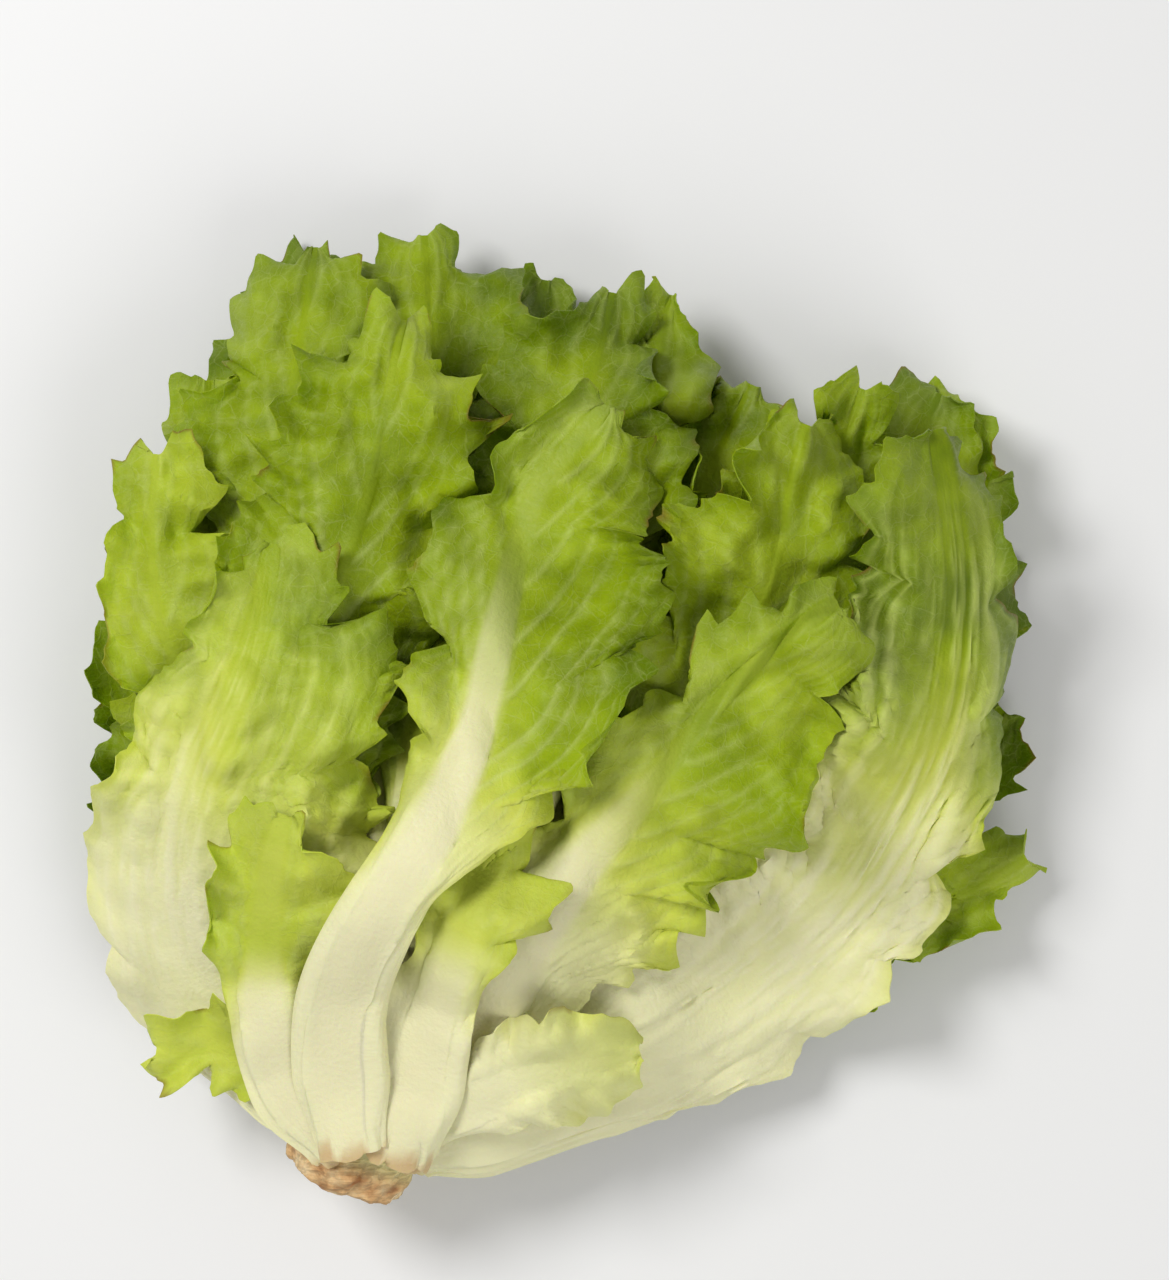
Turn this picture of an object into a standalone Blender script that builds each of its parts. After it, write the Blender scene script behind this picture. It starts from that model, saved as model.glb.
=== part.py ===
"""A picked head of broad-leaved endive, lying on its side.

Every leaf is one solid. All of them grow from the crown, the cut stub of the stem.
The head lies in the plan plane: +X to the right, +Y from the crown to the leaf tips, +Z up.
Plan points and sizes below are in millimetres. The meshes are made in metres.

A leaf is drawn flat, bent along its line in plan, and then laid on what is already there:
the leaves are stacked from the lowest to the topmost, and each one is lifted until it clears
the leaves below it by LEAF_GAP.
"""

import math
from collections import namedtuple

import bpy
import numpy as np

MM = 0.001

# The head
BODY_CENTRE = (2.0, 6.0)
BODY_HALF_WIDTH = 108.0
BODY_HALF_LENGTH = 106.0
BODY_HALF_HEIGHT = 44.0
BODY_MIDDLE_HEIGHT = 41.0
RIM_DROP = 16.0
RIM_HALF_HEIGHT = 10.0
CROWN_PLACE = (-45.5, -91.5)
CROWN_HEADING = math.radians(68)
CROWN_TILT = math.radians(16)
NECK_HALF_HEIGHT = 19.0
NECK_REACH = 36.0
NECK_DROP = 12.0
NECK_DROP_REACH = 50.0
MOST_DROOP = 30.0

# The crown: distances along its axis from CROWN_PLACE, half widths and half heights
CROWN_RINGS = (
    (-9.0, 10.0, 8.0),
    (-8.0, 13.5, 10.5),
    (-3.0, 14.5, 11.5),
    (5.0, 12.0, 9.5),
    (16.0, 7.5, 6.0),
    (32.0, 4.0, 3.0),
)
CROWN_SIDES = 18
CROWN_ROUGHNESS = 0.8

# Every leaf
LEAF_GAP = 0.35
BLADE_THICKNESS = 0.7
RIB_TAPER = 0.78
MOST_SLOPE_FACTOR = 1.8
VEIN_LEAD = 0.45
TIP_WIDTH = 2.0
BASE_ROUNDING = 3.5
TIP_CALM = 0.75
TIP_LOOSENESS = 2.6
SPINE_SAMPLES = 240
INNER_COLUMNS = (-0.6, -0.2, 0.2, 0.6)
RIB_SHARE = 0.75
LOBE_POINTS = 5.0
FULL_TEETH_BLADE = 13.0
MOST_NOTCH = 0.22

# The height map that the leaves are stacked with
CELL = 1.0
MAP_HALF = 140.0
SAMPLES_PER_EDGE = 16
COVER_SLOPE = 0.8
COVER_REACH = 40
MOST_LIFTS = 80
EVEN_TURNS = 3
FLAT_REST = 1.2

Leaf = namedtuple(
    "Leaf",
    "name line left right stalk thick rows widest start tooth lobe waves wave_height rest",
    defaults=(1.5, 12, 0.66, 0.08, 3.2, 2.5, 4.5, 5.0, 3.2),
)

# From the lowest leaf to the topmost. line: plan points of the midrib, from base to tip.
# left, right: half widths of the blade. stalk: half width of the stalk. rest: how far the leaf
# lies above the ones below it where it has room.
BELOW_CROWN = (
    Leaf("leaf_under_left", [(-42, -90), (-63, -62), (-78, -28), (-82, 3), (-84, 33)], 15, 21, 7, 2.4),
    Leaf("leaf_under_right", [(-38, -91), (-2, -68), (36, -42), (65, -17), (90, 6)], 22, 19, 7, 2.4),
    Leaf("leaf_under_middle", [(-40, -90), (-31, -43), (-21, 12), (-14, 80)], 27, 27, 7, 2.4),
    Leaf("leaf_under_top_left", [(-42, -85), (-53, -43), (-63, 12), (-66, 66)], 22, 25, 6.5),
    Leaf("leaf_under_top_right", [(-38, -85), (-8, -43), (19, 5), (46, 58)], 26, 25, 6.5),
    Leaf("leaf_under_side", [(-35, -87), (6, -74), (46, -54), (72, -36), (90, -16)], 16, 14, 6),
    Leaf("leaf_under_low_left", [(-44, -84), (-64, -64), (-78, -39), (-84, -5), (-87, 20)], 14, 19, 6),
    Leaf("leaf_under_far_right", [(-30, -70), (4, -40), (44, 4), (69, 41), (84, 68)], 22, 19, 5.5),
    Leaf("leaf_low_top_middle", [(-33, -66), (-23, -28), (-2, 24), (18, 82)], 23, 23, 5.5),
    Leaf("leaf_low_left", [(-39, -68), (-61, -35), (-76, 7), (-82, 49)], 17, 22, 5.5),
    Leaf("leaf_low_right", [(-27, -72), (15, -45), (55, -14), (80, 22), (88, 51)], 22, 13, 5.5),
)

ABOVE_CROWN = (
    Leaf("leaf_mid_top_middle", [(-27, -54), (-27, -20), (-21, 24), (-10, 95)], 22, 21, 4.5),
    Leaf("leaf_mid_top_left", [(-33, -56), (-48, -20), (-61, 24), (-62, 100)], 20, 22, 4.5),
    Leaf("leaf_mid_far_right", [(-19, -55), (6, -30), (42, 7), (65, 41), (80, 69)], 20, 19, 4.5),
    Leaf("leaf_mid_side", [(-29, -78), (15, -68), (53, -50), (78, -36), (95, -25)], 14, 11, 5),
    Leaf("leaf_mid_left", [(-38, -62), (-60, -39), (-76, -3), (-83, 24), (-86, 43)], 13, 18, 4.5),
    Leaf("leaf_mid_top_right", [(-21, -50), (-8, -24), (15, 20), (40, 70)], 20, 21, 4.5),
    Leaf("leaf_mid_curl_left", [(-34, -50), (-54, -24), (-66, 20), (-69, 72)], 15, 20, 4.5),
    Leaf("leaf_heart_a", [(-27, -50), (-28, -40), (-27, -28), (-25, -4)], 11, 11, 4, 1.2, 8),
    Leaf("leaf_heart_b", [(-34, -54), (-40, -44), (-48, -30), (-54, -8)], 12, 11, 4, 1.2, 8),
    Leaf("leaf_heart_c", [(-20, -54), (-13, -46), (-6, -32), (6, -12)], 11, 11, 4, 1.2, 8),
    Leaf("leaf_heart_d", [(-30, -46), (-34, -38), (-36, -22), (-33, 4)], 12, 12, 4, 1.2, 8),
    Leaf("leaf_heart_e", [(-23, -46), (-20, -38), (-15, -22), (-4, 4)], 11, 12, 4, 1.2, 8),
    Leaf("leaf_top_centre_back", [(-31, -46), (-33, -24), (-30, 24), (-34, 103)], 21, 21, 4.5),
    Leaf("leaf_top_narrow", [(-19, -44), (-10, -24), (11, 28), (27, 89)], 13, 11, 4),
    Leaf("leaf_top_left_back", [(-44, -44), (-54, -22), (-62, 20), (-56, 100)], 19, 21, 4.5),
    Leaf("leaf_top_right_back", [(-14, -49), (4, -33), (40, 7), (65, 68)], 21, 21, 4.5),
    Leaf("leaf_top_middle", [(-26, -40), (-23, -24), (-8, 24), (4, 91)], 20, 22, 4.5),
    Leaf("leaf_top_left", [(-47, -65), (-64, -42), (-78, -1), (-84, 24), (-82, 55)], 13, 21, 4.5),
    Leaf("leaf_top_right_front", [(-14, -47), (0, -33), (25, 3), (42, 26), (52, 60)], 20, 22, 4.5),
    Leaf(
        "leaf_flat_left",
        [(-40, -66), (-50, -40), (-55, -9), (-50, 20), (-41, 49), (-35, 83)],
        23,
        22,
        5,
        1.9,
        14,
    ),
    Leaf(
        "leaf_wide_right",
        [(-34, -89), (-7, -82), (24, -70), (49, -51), (66, -28), (77, -3), (81, 24), (77, 60)],
        30,
        14,
        14,
        3.0,
        16,
        0.5,
        tooth=1.8,
    ),
    Leaf(
        "leaf_lean_right",
        [(-28, -80), (-16, -58), (-2, -37), (15, -17), (36, 1), (60, 16)],
        12,
        30,
        10,
        2.8,
        14,
        0.6,
        0.12,
    ),
    Leaf(
        "leaf_round_fold",
        [(-30, -86), (-15, -78), (-1, -72), (14, -67)],
        11,
        11,
        8,
        2.4,
        8,
        0.6,
        tooth=1.2,
        lobe=1.0,
    ),
    Leaf(
        "leaf_fan_left",
        [(-47, -86), (-64, -74), (-77, -60), (-82, -41), (-79, -18), (-72, 5), (-67, 37)],
        17,
        38,
        12,
        3.0,
        14,
        0.44,
        0.12,
        tooth=1.2,
        lobe=1.6,
    ),
    Leaf("leaf_curl_low", [(-49, -85), (-61, -76), (-74, -69), (-87, -66)], 8, 8, 4, 1.4, 8),
    Leaf(
        "leaf_stalk_left",
        [(-48, -89), (-58, -77), (-63, -61), (-62, -43), (-56, -20)],
        13,
        12,
        12,
        3.0,
        widest=0.75,
        start=0.4,
    ),
    Leaf(
        "leaf_stalk_centre",
        [(-36, -91), (-32, -77), (-27, -60), (-21, -44), (-13, -22)],
        12,
        12,
        12,
        3.0,
        widest=0.8,
        start=0.5,
    ),
    Leaf(
        "leaf_rib_centre",
        [(-46, -90), (-48, -70), (-46, -55), (-37, -37), (-26, -20), (-18, 1), (-14, 24), (-8, 47), (6, 66)],
        13,
        32,
        11,
        3.4,
        16,
        0.68,
        0.34,
    ),
)


def smooth_step(value):
    """0 up to 0, 1 from 1, and a smooth rise between."""
    value = np.clip(value, 0.0, 1.0)
    return value * value * (3 - 2 * value)


class Spine:
    """A smooth line through a leaf's plan points, read by the distance along it."""

    def __init__(self, points):
        self.points = self._curve(np.array(points, float))
        steps = np.linalg.norm(np.diff(self.points, axis=0), axis=1)
        self.along = np.concatenate([[0.0], np.cumsum(steps)])
        self.length = self.along[-1]
        heading = np.gradient(self.points, self.along, axis=0)
        self.heading = heading / np.linalg.norm(heading, axis=1)[:, None]

    @staticmethod
    def _curve(points):
        """Catmull-Rom through the points, with the end spans carried straight on."""
        padded = np.vstack([2 * points[0] - points[1], points, 2 * points[-1] - points[-2]])
        spans = len(points) - 1
        made = []
        for t in np.linspace(0, spans, SPINE_SAMPLES):
            i = min(int(t), spans - 1)
            u = t - i
            a, b, c, d = padded[i : i + 4]
            bend = (2 * a - 5 * b + 4 * c - d) * u**2 + (3 * b - a - 3 * c + d) * u**3
            made.append(0.5 * (2 * b + (c - a) * u + bend))
        return np.array(made)

    def place(self, across, along):
        """Plan points at these distances along the line and across it, to its right."""
        inside = np.clip(along, 0, self.length)
        over = (along - inside)[..., None]
        on_line = np.stack([np.interp(inside, self.along, self.points[:, k]) for k in (0, 1)], -1)
        ahead = np.stack([np.interp(inside, self.along, self.heading[:, k]) for k in (0, 1)], -1)
        to_right = np.stack([ahead[..., 1], -ahead[..., 0]], -1)
        return on_line + over * ahead + across[..., None] * to_right


def half_width(leaf, share, blade):
    """Half width of a leaf's outline at this share of its length."""
    stalk = leaf.stalk * (1 - RIB_TAPER * share)
    rise = smooth_step((share - leaf.start) / (leaf.widest - leaf.start))
    beyond = np.clip((share - leaf.widest) / (1 - leaf.widest), 0, 1)
    fall = np.sqrt(np.clip(1 - beyond**2.2, 0, 1))
    return np.maximum(stalk * fall + (blade - stalk * 0.5) * rise * fall, TIP_WIDTH)


def row_shares(leaf, length):
    """Shares of the length at which the rows meet the margin, evenly spaced along the margin."""
    share = np.linspace(0, 1, 400)
    width = half_width(leaf, share, (leaf.left + leaf.right) / 2)
    steps = np.hypot(np.diff(share) * length, np.diff(width))
    along = np.concatenate([[0], np.cumsum(steps)])
    return np.interp(np.linspace(0, along[-1], 2 * leaf.rows + 1), along, share)


def rib_half_width(leaf, shares, width):
    """Half width of the midrib where the outline has this half width."""
    return np.minimum(RIB_SHARE * leaf.stalk * (1 - RIB_TAPER * shares), 0.6 * width)


def margin_of(leaf, shares, blade, length, rng):
    """A margin's distances along and across the leaf: its outline with teeth, notches and lobes."""
    width = half_width(leaf, shares, blade)
    along = shares * length
    number = np.arange(len(shares))
    turn = np.where(number % 2 == 0, -1.0, 1.0)
    teeth = turn * leaf.tooth * rng.uniform(0.4, 1.3, len(shares))
    lobes = leaf.lobe * np.sin(2 * math.pi * (number / LOBE_POINTS + rng.uniform()))
    blade_room = width - rib_half_width(leaf, shares, width)
    room = np.clip(blade_room / FULL_TEETH_BLADE, 0.15, 1)
    out = (teeth + lobes) * room * smooth_step((shares - leaf.start - 0.07) / 0.2)
    out = out * (1 - TIP_CALM * smooth_step((shares - 0.82) / 0.18))
    out = np.maximum(out, -MOST_NOTCH * blade_room)
    forward, outward = -np.gradient(width), np.gradient(along)
    size = np.hypot(forward, outward)
    return along + out * forward / size, np.maximum(width + out * outward / size, TIP_WIDTH / 2)


def vein_lead(shares):
    """How far a row's end lies ahead of its start at the rib, as a share of the half width."""
    return VEIN_LEAD * smooth_step(shares / 0.35)


def plan_of(leaf, rng):
    """Plan points of a leaf with their shares of its length and their columns.

    The inner columns come first, row by row. Then come the two margins, which have two
    points to a row.
    """
    spine = Spine(leaf.line)
    margin_shares = row_shares(leaf, spine.length)
    shares = margin_shares[::2]
    inner = []
    for part in INNER_COLUMNS:
        side = 1 if part > 0 else -1
        width = half_width(leaf, shares, leaf.right if side > 0 else leaf.left)
        rib = rib_half_width(leaf, shares, width)
        across = rib + (abs(part) - 0.2) / 0.8 * (width - rib)
        along = shares * spine.length - vein_lead(shares) * width * (1 - (across / width) ** 1.2)
        along = along - BASE_ROUNDING * (1 - part**2) * (1 - smooth_step(shares / 0.12))
        inner.append(spine.place(side * across, along))
    plan = [np.stack(inner, axis=1).reshape(-1, 2)]
    share = [np.repeat(shares, len(INNER_COLUMNS))]
    column = [np.tile(INNER_COLUMNS, len(shares))]
    for side, blade in ((-1, leaf.left), (1, leaf.right)):
        along, across = margin_of(leaf, margin_shares, blade, spine.length, rng)
        plan.append(spine.place(side * across, along))
        share.append(margin_shares)
        column.append(np.full(len(margin_shares), float(side)))
    return np.vstack(plan), np.concatenate(share), np.concatenate(column)


def leaf_triangles(rows):
    """Triangles of one surface of a leaf, and the points of its border in order."""
    inner = np.arange((rows + 1) * 4).reshape(rows + 1, 4)
    left = inner.size + np.arange(2 * rows + 1)
    right = left + 2 * rows + 1
    made = []
    for i in range(rows):
        for j in range(3):
            a, b = inner[i, j], inner[i, j + 1]
            c, d = inner[i + 1, j + 1], inner[i + 1, j]
            made += [(a, b, c), (a, c, d)]
        near, far = inner[i, 0], inner[i + 1, 0]
        low, middle, high = left[2 * i : 2 * i + 3]
        made += [(low, near, far), (low, far, middle), (middle, far, high)]
        near, far = inner[i, 3], inner[i + 1, 3]
        low, middle, high = right[2 * i : 2 * i + 3]
        made += [(near, low, far), (low, middle, far), (middle, high, far)]
    border = np.concatenate([inner[0], right, inner[-1, ::-1], left[::-1]])
    return np.array(made), border


def half_height(x, y):
    """Half the head's height over a plan point: a flattened body, a neck at the crown, thin tips."""
    u = (x - BODY_CENTRE[0]) / BODY_HALF_WIDTH
    v = (y - BODY_CENTRE[1]) / BODY_HALF_LENGTH
    body = BODY_HALF_HEIGHT * np.sqrt(np.clip(1 - u**2 - v**2, 0, 1))
    from_crown = np.hypot(x - CROWN_PLACE[0], y - CROWN_PLACE[1])
    neck = NECK_HALF_HEIGHT * np.exp(-((from_crown / NECK_REACH) ** 2))
    return np.sqrt(body**2 + neck**2 + RIM_HALF_HEIGHT**2)


def middle_height(x, y):
    """Height of the head's middle over a plan point. It is lower at the crown and at the rim."""
    u = (x - BODY_CENTRE[0]) / BODY_HALF_WIDTH
    v = (y - BODY_CENTRE[1]) / BODY_HALF_LENGTH
    from_crown = np.hypot(x - CROWN_PLACE[0], y - CROWN_PLACE[1])
    neck = NECK_DROP * np.exp(-((from_crown / NECK_DROP_REACH) ** 2))
    return BODY_MIDDLE_HEIGHT - RIM_DROP * np.minimum(u**2 + v**2, 1) - neck


def free_height(leaf, level, plan, share, column, cover, rng):
    """Where a leaf's middle surface would lie if nothing were in its way."""
    x, y = plan.T
    planned = middle_height(x, y) + (2 * level - 1) * half_height(x, y)
    rest = leaf.rest * TIP_LOOSENESS * smooth_step(share / 0.8)
    height = np.maximum(np.minimum(planned, cover + rest), planned - MOST_DROOP)
    reach = smooth_step((share - 0.2) / 0.5)
    phase = rng.uniform(0, 2 * math.pi, 2)[np.where(column > 0, 1, 0)]
    ruffle = np.sin(2 * math.pi * leaf.waves * share + phase) * np.abs(column) ** 1.5
    calm = smooth_step((level + 0.02) / 0.12)
    return height + reach * calm * leaf.wave_height * ruffle


def thickness_of(leaf, share, column):
    """Leaf thickness: a thick rib that thins towards the tip, and a thin blade."""
    rib = BLADE_THICKNESS + (leaf.thick - BLADE_THICKNESS) * (1 - share) ** 1.4
    to_margin = smooth_step((np.abs(column) - 0.2) / 0.4)
    edge = BLADE_THICKNESS + 0.4 * (rib - BLADE_THICKNESS) * (1 - smooth_step(share / 0.5))
    return rib + (edge - rib) * to_margin


def lattice():
    """Shares of a triangle's three corners at evenly spaced points of it."""
    n = SAMPLES_PER_EDGE
    return np.array([(i / n, j / n, 1 - (i + j) / n) for i in range(n + 1) for j in range(n + 1 - i)])


def highest_neighbour(grid, corners):
    """Each cell's highest value among its four side neighbours, or its four corner neighbours."""
    wide = np.pad(grid, 1, mode="edge")
    if corners:
        around = [wide[:-2, :-2], wide[:-2, 2:], wide[2:, :-2], wide[2:, 2:]]
    else:
        around = [wide[:-2, 1:-1], wide[2:, 1:-1], wide[1:-1, :-2], wide[1:-1, 2:]]
    return np.maximum.reduce(around)


class Stack:
    """The height of what is already laid, over a map of square cells."""

    def __init__(self):
        size = int(2 * MAP_HALF / CELL)
        self.height = np.full((size, size), -LEAF_GAP)
        self.shares = lattice()

    def cell_of(self, points):
        inside = np.clip(((points + MAP_HALF) / CELL).astype(int), 0, self.height.shape[0] - 1)
        return inside[..., 0], inside[..., 1]

    def cells(self, plan, triangles):
        return self.cell_of(np.einsum("sc,tck->stk", self.shares, plan[triangles]))

    def over(self, values, triangles):
        return np.einsum("sc,tc->st", self.shares, values[triangles])

    def cover(self):
        """The height map, with its steep sides filled in to a slope of COVER_SLOPE at most."""
        cover = np.maximum(highest_neighbour(self.height, False), highest_neighbour(self.height, True))
        cover = np.maximum(cover, self.height)
        step = CELL * COVER_SLOPE
        for _ in range(COVER_REACH):
            beside = highest_neighbour(cover, False) - step
            corner = highest_neighbour(cover, True) - step * math.sqrt(2)
            cover = np.maximum.reduce([cover, beside, corner])
        return cover

    def add(self, plan, triangles, top):
        np.maximum.at(self.height, self.cells(plan, triangles), self.over(top, triangles))


def slope_factor(plan, height, triangles):
    """How much thicker a sheet is along Z than across itself, where it slopes."""
    points = np.column_stack([plan, height])[triangles]
    normal = np.cross(points[:, 1] - points[:, 0], points[:, 2] - points[:, 0])
    total = np.zeros((len(plan), 3))
    for corner in range(3):
        np.add.at(total, triangles[:, corner], normal)
    factor = np.linalg.norm(total, axis=1) / np.maximum(np.abs(total[:, 2]), 1e-6)
    return np.minimum(factor, MOST_SLOPE_FACTOR)


def evened(values, triangles):
    """Each point's value, drawn half way to the mean of its neighbours."""
    total = np.zeros(len(values))
    count = np.zeros(len(values))
    for a, b in ((0, 1), (1, 2), (2, 0)):
        for i, j in ((a, b), (b, a)):
            np.add.at(total, triangles[:, i], values[triangles[:, j]])
            np.add.at(count, triangles[:, i], 1)
    return (values + total / count) / 2


def cleared(stack, plan, height, thickness, triangles, to_clear):
    """Lifts a sheet, where it must, until its underside clears the stack. Returns its half heights too."""
    for _ in range(MOST_LIFTS):
        half = slope_factor(plan, height, triangles) * thickness / 2
        short = to_clear - stack.over(height - half, triangles)
        if short.max() <= 0:
            return height, half
        lift = np.zeros(len(height))
        for corner in range(3):
            wanted = (np.clip(short, 0, None) * stack.shares[:, corner][:, None]).max(axis=0)
            np.maximum.at(lift, triangles[:, corner], wanted)
        height = height + 1.1 * lift + 0.01 * (lift > 0)
    return height + short.max(), half


def lay(stack, leaf, level, rng):
    """Lays a leaf on the stack, adds it, and returns its plan points and its two surfaces."""
    plan, share, column = plan_of(leaf, rng)
    triangles, border = leaf_triangles(leaf.rows)
    cover = stack.cover()
    free = free_height(leaf, level, plan, share, column, cover[stack.cell_of(plan)], rng)
    thickness = thickness_of(leaf, share, column)
    to_clear = cover[stack.cells(plan, triangles)] + LEAF_GAP
    height, half = cleared(stack, plan, free, thickness, triangles, to_clear)
    for _ in range(EVEN_TURNS):
        lift = evened(evened(height - free, triangles), triangles)
        height, half = cleared(stack, plan, free + lift, thickness, triangles, to_clear)
    bottom = height - half
    bottom = np.where(bottom < FLAT_REST, 0.0, bottom)
    stack.add(plan, triangles, height + half)
    return plan, height + half, bottom, triangles, border


def solid_from(name, points, faces, material):
    """A new object of these points, in millimetres, and faces."""
    mesh = bpy.data.meshes.new(name)
    mesh.from_pydata((np.array(points) * MM).tolist(), [], [list(map(int, face)) for face in faces])
    mesh.validate()
    mesh.update()
    mesh.materials.append(material)
    made = bpy.data.objects.new(name, mesh)
    bpy.context.scene.collection.objects.link(made)
    mesh.shade_smooth()
    mesh.set_sharp_from_angle(angle=math.radians(50))
    return made


def leaf_solid(name, plan, top, bottom, triangles, border, material):
    """Joins a leaf's two surfaces with a rim. Both surfaces are split into triangles alike."""
    below = len(plan)
    after = np.roll(border, -1)
    rim = [(border, border + below, after + below), (border, after + below, after)]
    rim = np.concatenate([np.stack(corners, 1) for corners in rim])
    faces = np.concatenate([triangles, triangles[:, ::-1] + below, rim])
    points = np.vstack([np.column_stack([plan, top]), np.column_stack([plan, bottom])])
    return solid_from(name, points, faces, material)


def crown_mesh(rng):
    """Points and triangles of the crown about its own axis: +X along it, with a rough cut end."""
    points = []
    for along, wide, high in CROWN_RINGS:
        rough = CROWN_ROUGHNESS * (1 if along < 0 else 0.4)
        for k in range(CROWN_SIDES):
            turn = 2 * math.pi * k / CROWN_SIDES
            bump = rng.uniform(-rough, rough)
            points.append((along + 0.5 * bump, (wide + bump) * math.cos(turn), (high + bump) * math.sin(turn)))
    faces = []
    for ring in range(len(CROWN_RINGS) - 1):
        for k in range(CROWN_SIDES):
            a = ring * CROWN_SIDES + k
            b = ring * CROWN_SIDES + (k + 1) % CROWN_SIDES
            c, d = b + CROWN_SIDES, a + CROWN_SIDES
            faces += [(a, b, c), (a, c, d)]
    last = len(CROWN_RINGS) * CROWN_SIDES
    points += [(CROWN_RINGS[0][0] + 1.2, 0, 0), (CROWN_RINGS[-1][0] + 1.5, 0, 0)]
    end = last - CROWN_SIDES
    for k in range(CROWN_SIDES):
        beside = (k + 1) % CROWN_SIDES
        faces += [(last, beside, k), (last + 1, end + k, end + beside)]
    return np.array(points), np.array(faces)


def lay_crown(stack, rng):
    """Turns the crown to its heading, sets it down on the stack and adds it."""
    points, faces = crown_mesh(rng)
    c, s = math.cos(CROWN_TILT), math.sin(CROWN_TILT)
    along, side = points[:, 0] * c - points[:, 2] * s, points[:, 1]
    raised = points[:, 0] * s + points[:, 2] * c
    c, s = math.cos(CROWN_HEADING), math.sin(CROWN_HEADING)
    plan = np.array(CROWN_PLACE) + np.column_stack([along * c - side * s, along * s + side * c])
    to_clear = stack.cover()[stack.cells(plan, faces)] + LEAF_GAP
    height = raised + (to_clear - stack.over(raised, faces)).max()
    stack.add(plan, faces, height)
    return np.column_stack([plan, height]), faces


def material_of(name, colour, roughness):
    made = bpy.data.materials.new(name)
    made.use_nodes = True
    shader = made.node_tree.nodes["Principled BSDF"]
    shader.inputs["Base Color"].default_value = (*colour, 1)
    shader.inputs["Roughness"].default_value = roughness
    shader.inputs["Metallic"].default_value = 0.0
    made.diffuse_color = (*colour, 1)
    return made


def clear_scene():
    for thing in list(bpy.data.objects):
        bpy.data.objects.remove(thing)


def main():
    clear_scene()
    green = material_of("leaf", (0.21, 0.32, 0.04), 0.5)
    brown = material_of("crown", (0.50, 0.33, 0.20), 0.8)
    stack = Stack()
    count = len(BELOW_CROWN) + len(ABOVE_CROWN)
    laid = []
    for number, leaf in enumerate(BELOW_CROWN):
        laid.append((leaf, lay(stack, leaf, (number + 0.5) / count, np.random.default_rng(100 + number))))
    crown_points, crown_faces = lay_crown(stack, np.random.default_rng(5))
    for number, leaf in enumerate(ABOVE_CROWN, len(BELOW_CROWN)):
        laid.append((leaf, lay(stack, leaf, (number + 0.5) / count, np.random.default_rng(100 + number))))
    every = np.vstack([parts[0] for _, parts in laid] + [crown_points[:, :2]])
    shift = -(every.min(0) + every.max(0)) / 2
    for leaf, (plan, top, bottom, triangles, border) in laid:
        leaf_solid(leaf.name, plan + shift, top, bottom, triangles, border, green)
    solid_from("crown", crown_points + [*shift, 0], crown_faces, brown)
    print("plan shift", np.round(shift, 3))


main()
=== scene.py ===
"""Looks of a picked head of broad-leaved endive that lies on its side.

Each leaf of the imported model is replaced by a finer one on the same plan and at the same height.
The finer leaf adds sharp teeth, veins, puckers and ruffles, and it is laid on the finer leaves
below it, from the lowest to the topmost, so that no two cross. The leaves' bases are drawn in to
the crown, which gets a rough cut. Plan points and sizes are in millimetres, and meshes in metres.
"""

import math
from collections import namedtuple

import bpy
import numpy as np
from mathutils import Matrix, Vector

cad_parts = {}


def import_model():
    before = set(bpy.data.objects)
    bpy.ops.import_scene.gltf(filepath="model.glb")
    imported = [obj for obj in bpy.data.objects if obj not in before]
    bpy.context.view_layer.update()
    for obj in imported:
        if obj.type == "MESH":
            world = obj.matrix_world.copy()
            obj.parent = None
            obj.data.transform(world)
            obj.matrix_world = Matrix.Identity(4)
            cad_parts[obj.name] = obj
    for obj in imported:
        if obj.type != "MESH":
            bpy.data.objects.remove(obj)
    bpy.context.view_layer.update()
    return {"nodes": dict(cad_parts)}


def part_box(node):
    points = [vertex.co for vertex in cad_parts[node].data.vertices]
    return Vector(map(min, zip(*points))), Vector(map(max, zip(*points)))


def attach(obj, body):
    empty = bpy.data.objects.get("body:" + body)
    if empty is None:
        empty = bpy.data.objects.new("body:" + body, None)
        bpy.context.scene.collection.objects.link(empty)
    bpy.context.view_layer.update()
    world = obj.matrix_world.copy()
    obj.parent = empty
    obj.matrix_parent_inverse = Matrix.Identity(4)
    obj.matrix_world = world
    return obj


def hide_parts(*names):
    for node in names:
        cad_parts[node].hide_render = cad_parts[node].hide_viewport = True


MM = 0.001

# The leaves' plan, as in the solids
RIB_TAPER = 0.78
VEIN_LEAD = 0.45
TIP_WIDTH = 2.0
BASE_ROUNDING = 3.5
TIP_CALM = 0.75
SPINE_SAMPLES = 240
INNER_COLUMNS = (-0.6, -0.2, 0.2, 0.6)
RIB_SHARE = 0.75
LOBE_POINTS = 5.0
FULL_TEETH_BLADE = 13.0
MOST_NOTCH = 0.22

# The fine leaves
STEP_ALONG = 0.9
STEP_ACROSS = 1.2
HIDDEN_STEP_FACTOR = 1.9
STEM_STEP_FACTOR = 2.0
STEM_SHARE = 0.22
BLADE_THICKNESS = 0.45
EDGE_THICKNESS = 0.2
LOBE_SPACING = 28.0
LOBE_DEPTH = 8.0
LOBE_SWING = 8.0
TOOTH_SHARPNESS = 1.45
TOOTH_SPACING = 11.0
TOOTH_DEPTH = 4.0
NICK_SPACING = 4.2
NICK_DEPTH = 0.8
DEEPEST = 0.42
TOOTH_LEAN = 0.4
SOLID_TEETH = 0.65
BASE_TAPER = 0.3
BASE_RAGGED = 1.6
VEIN_HEIGHT = 0.55
VEIN_HALF_WIDTH = 0.95
PUCKER = 1.1
CREASE = 6.0
CRUMPLE = 1.1
RUFFLE = 2.0
RUFFLE_LENGTH = 17.0
CURL_FROM = 0.4
MOST_CURL_UP = 120.0
MOST_CURL_DOWN = -60.0
TIP_CURL = 11.0
TIP_BEND = 9.0

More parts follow.
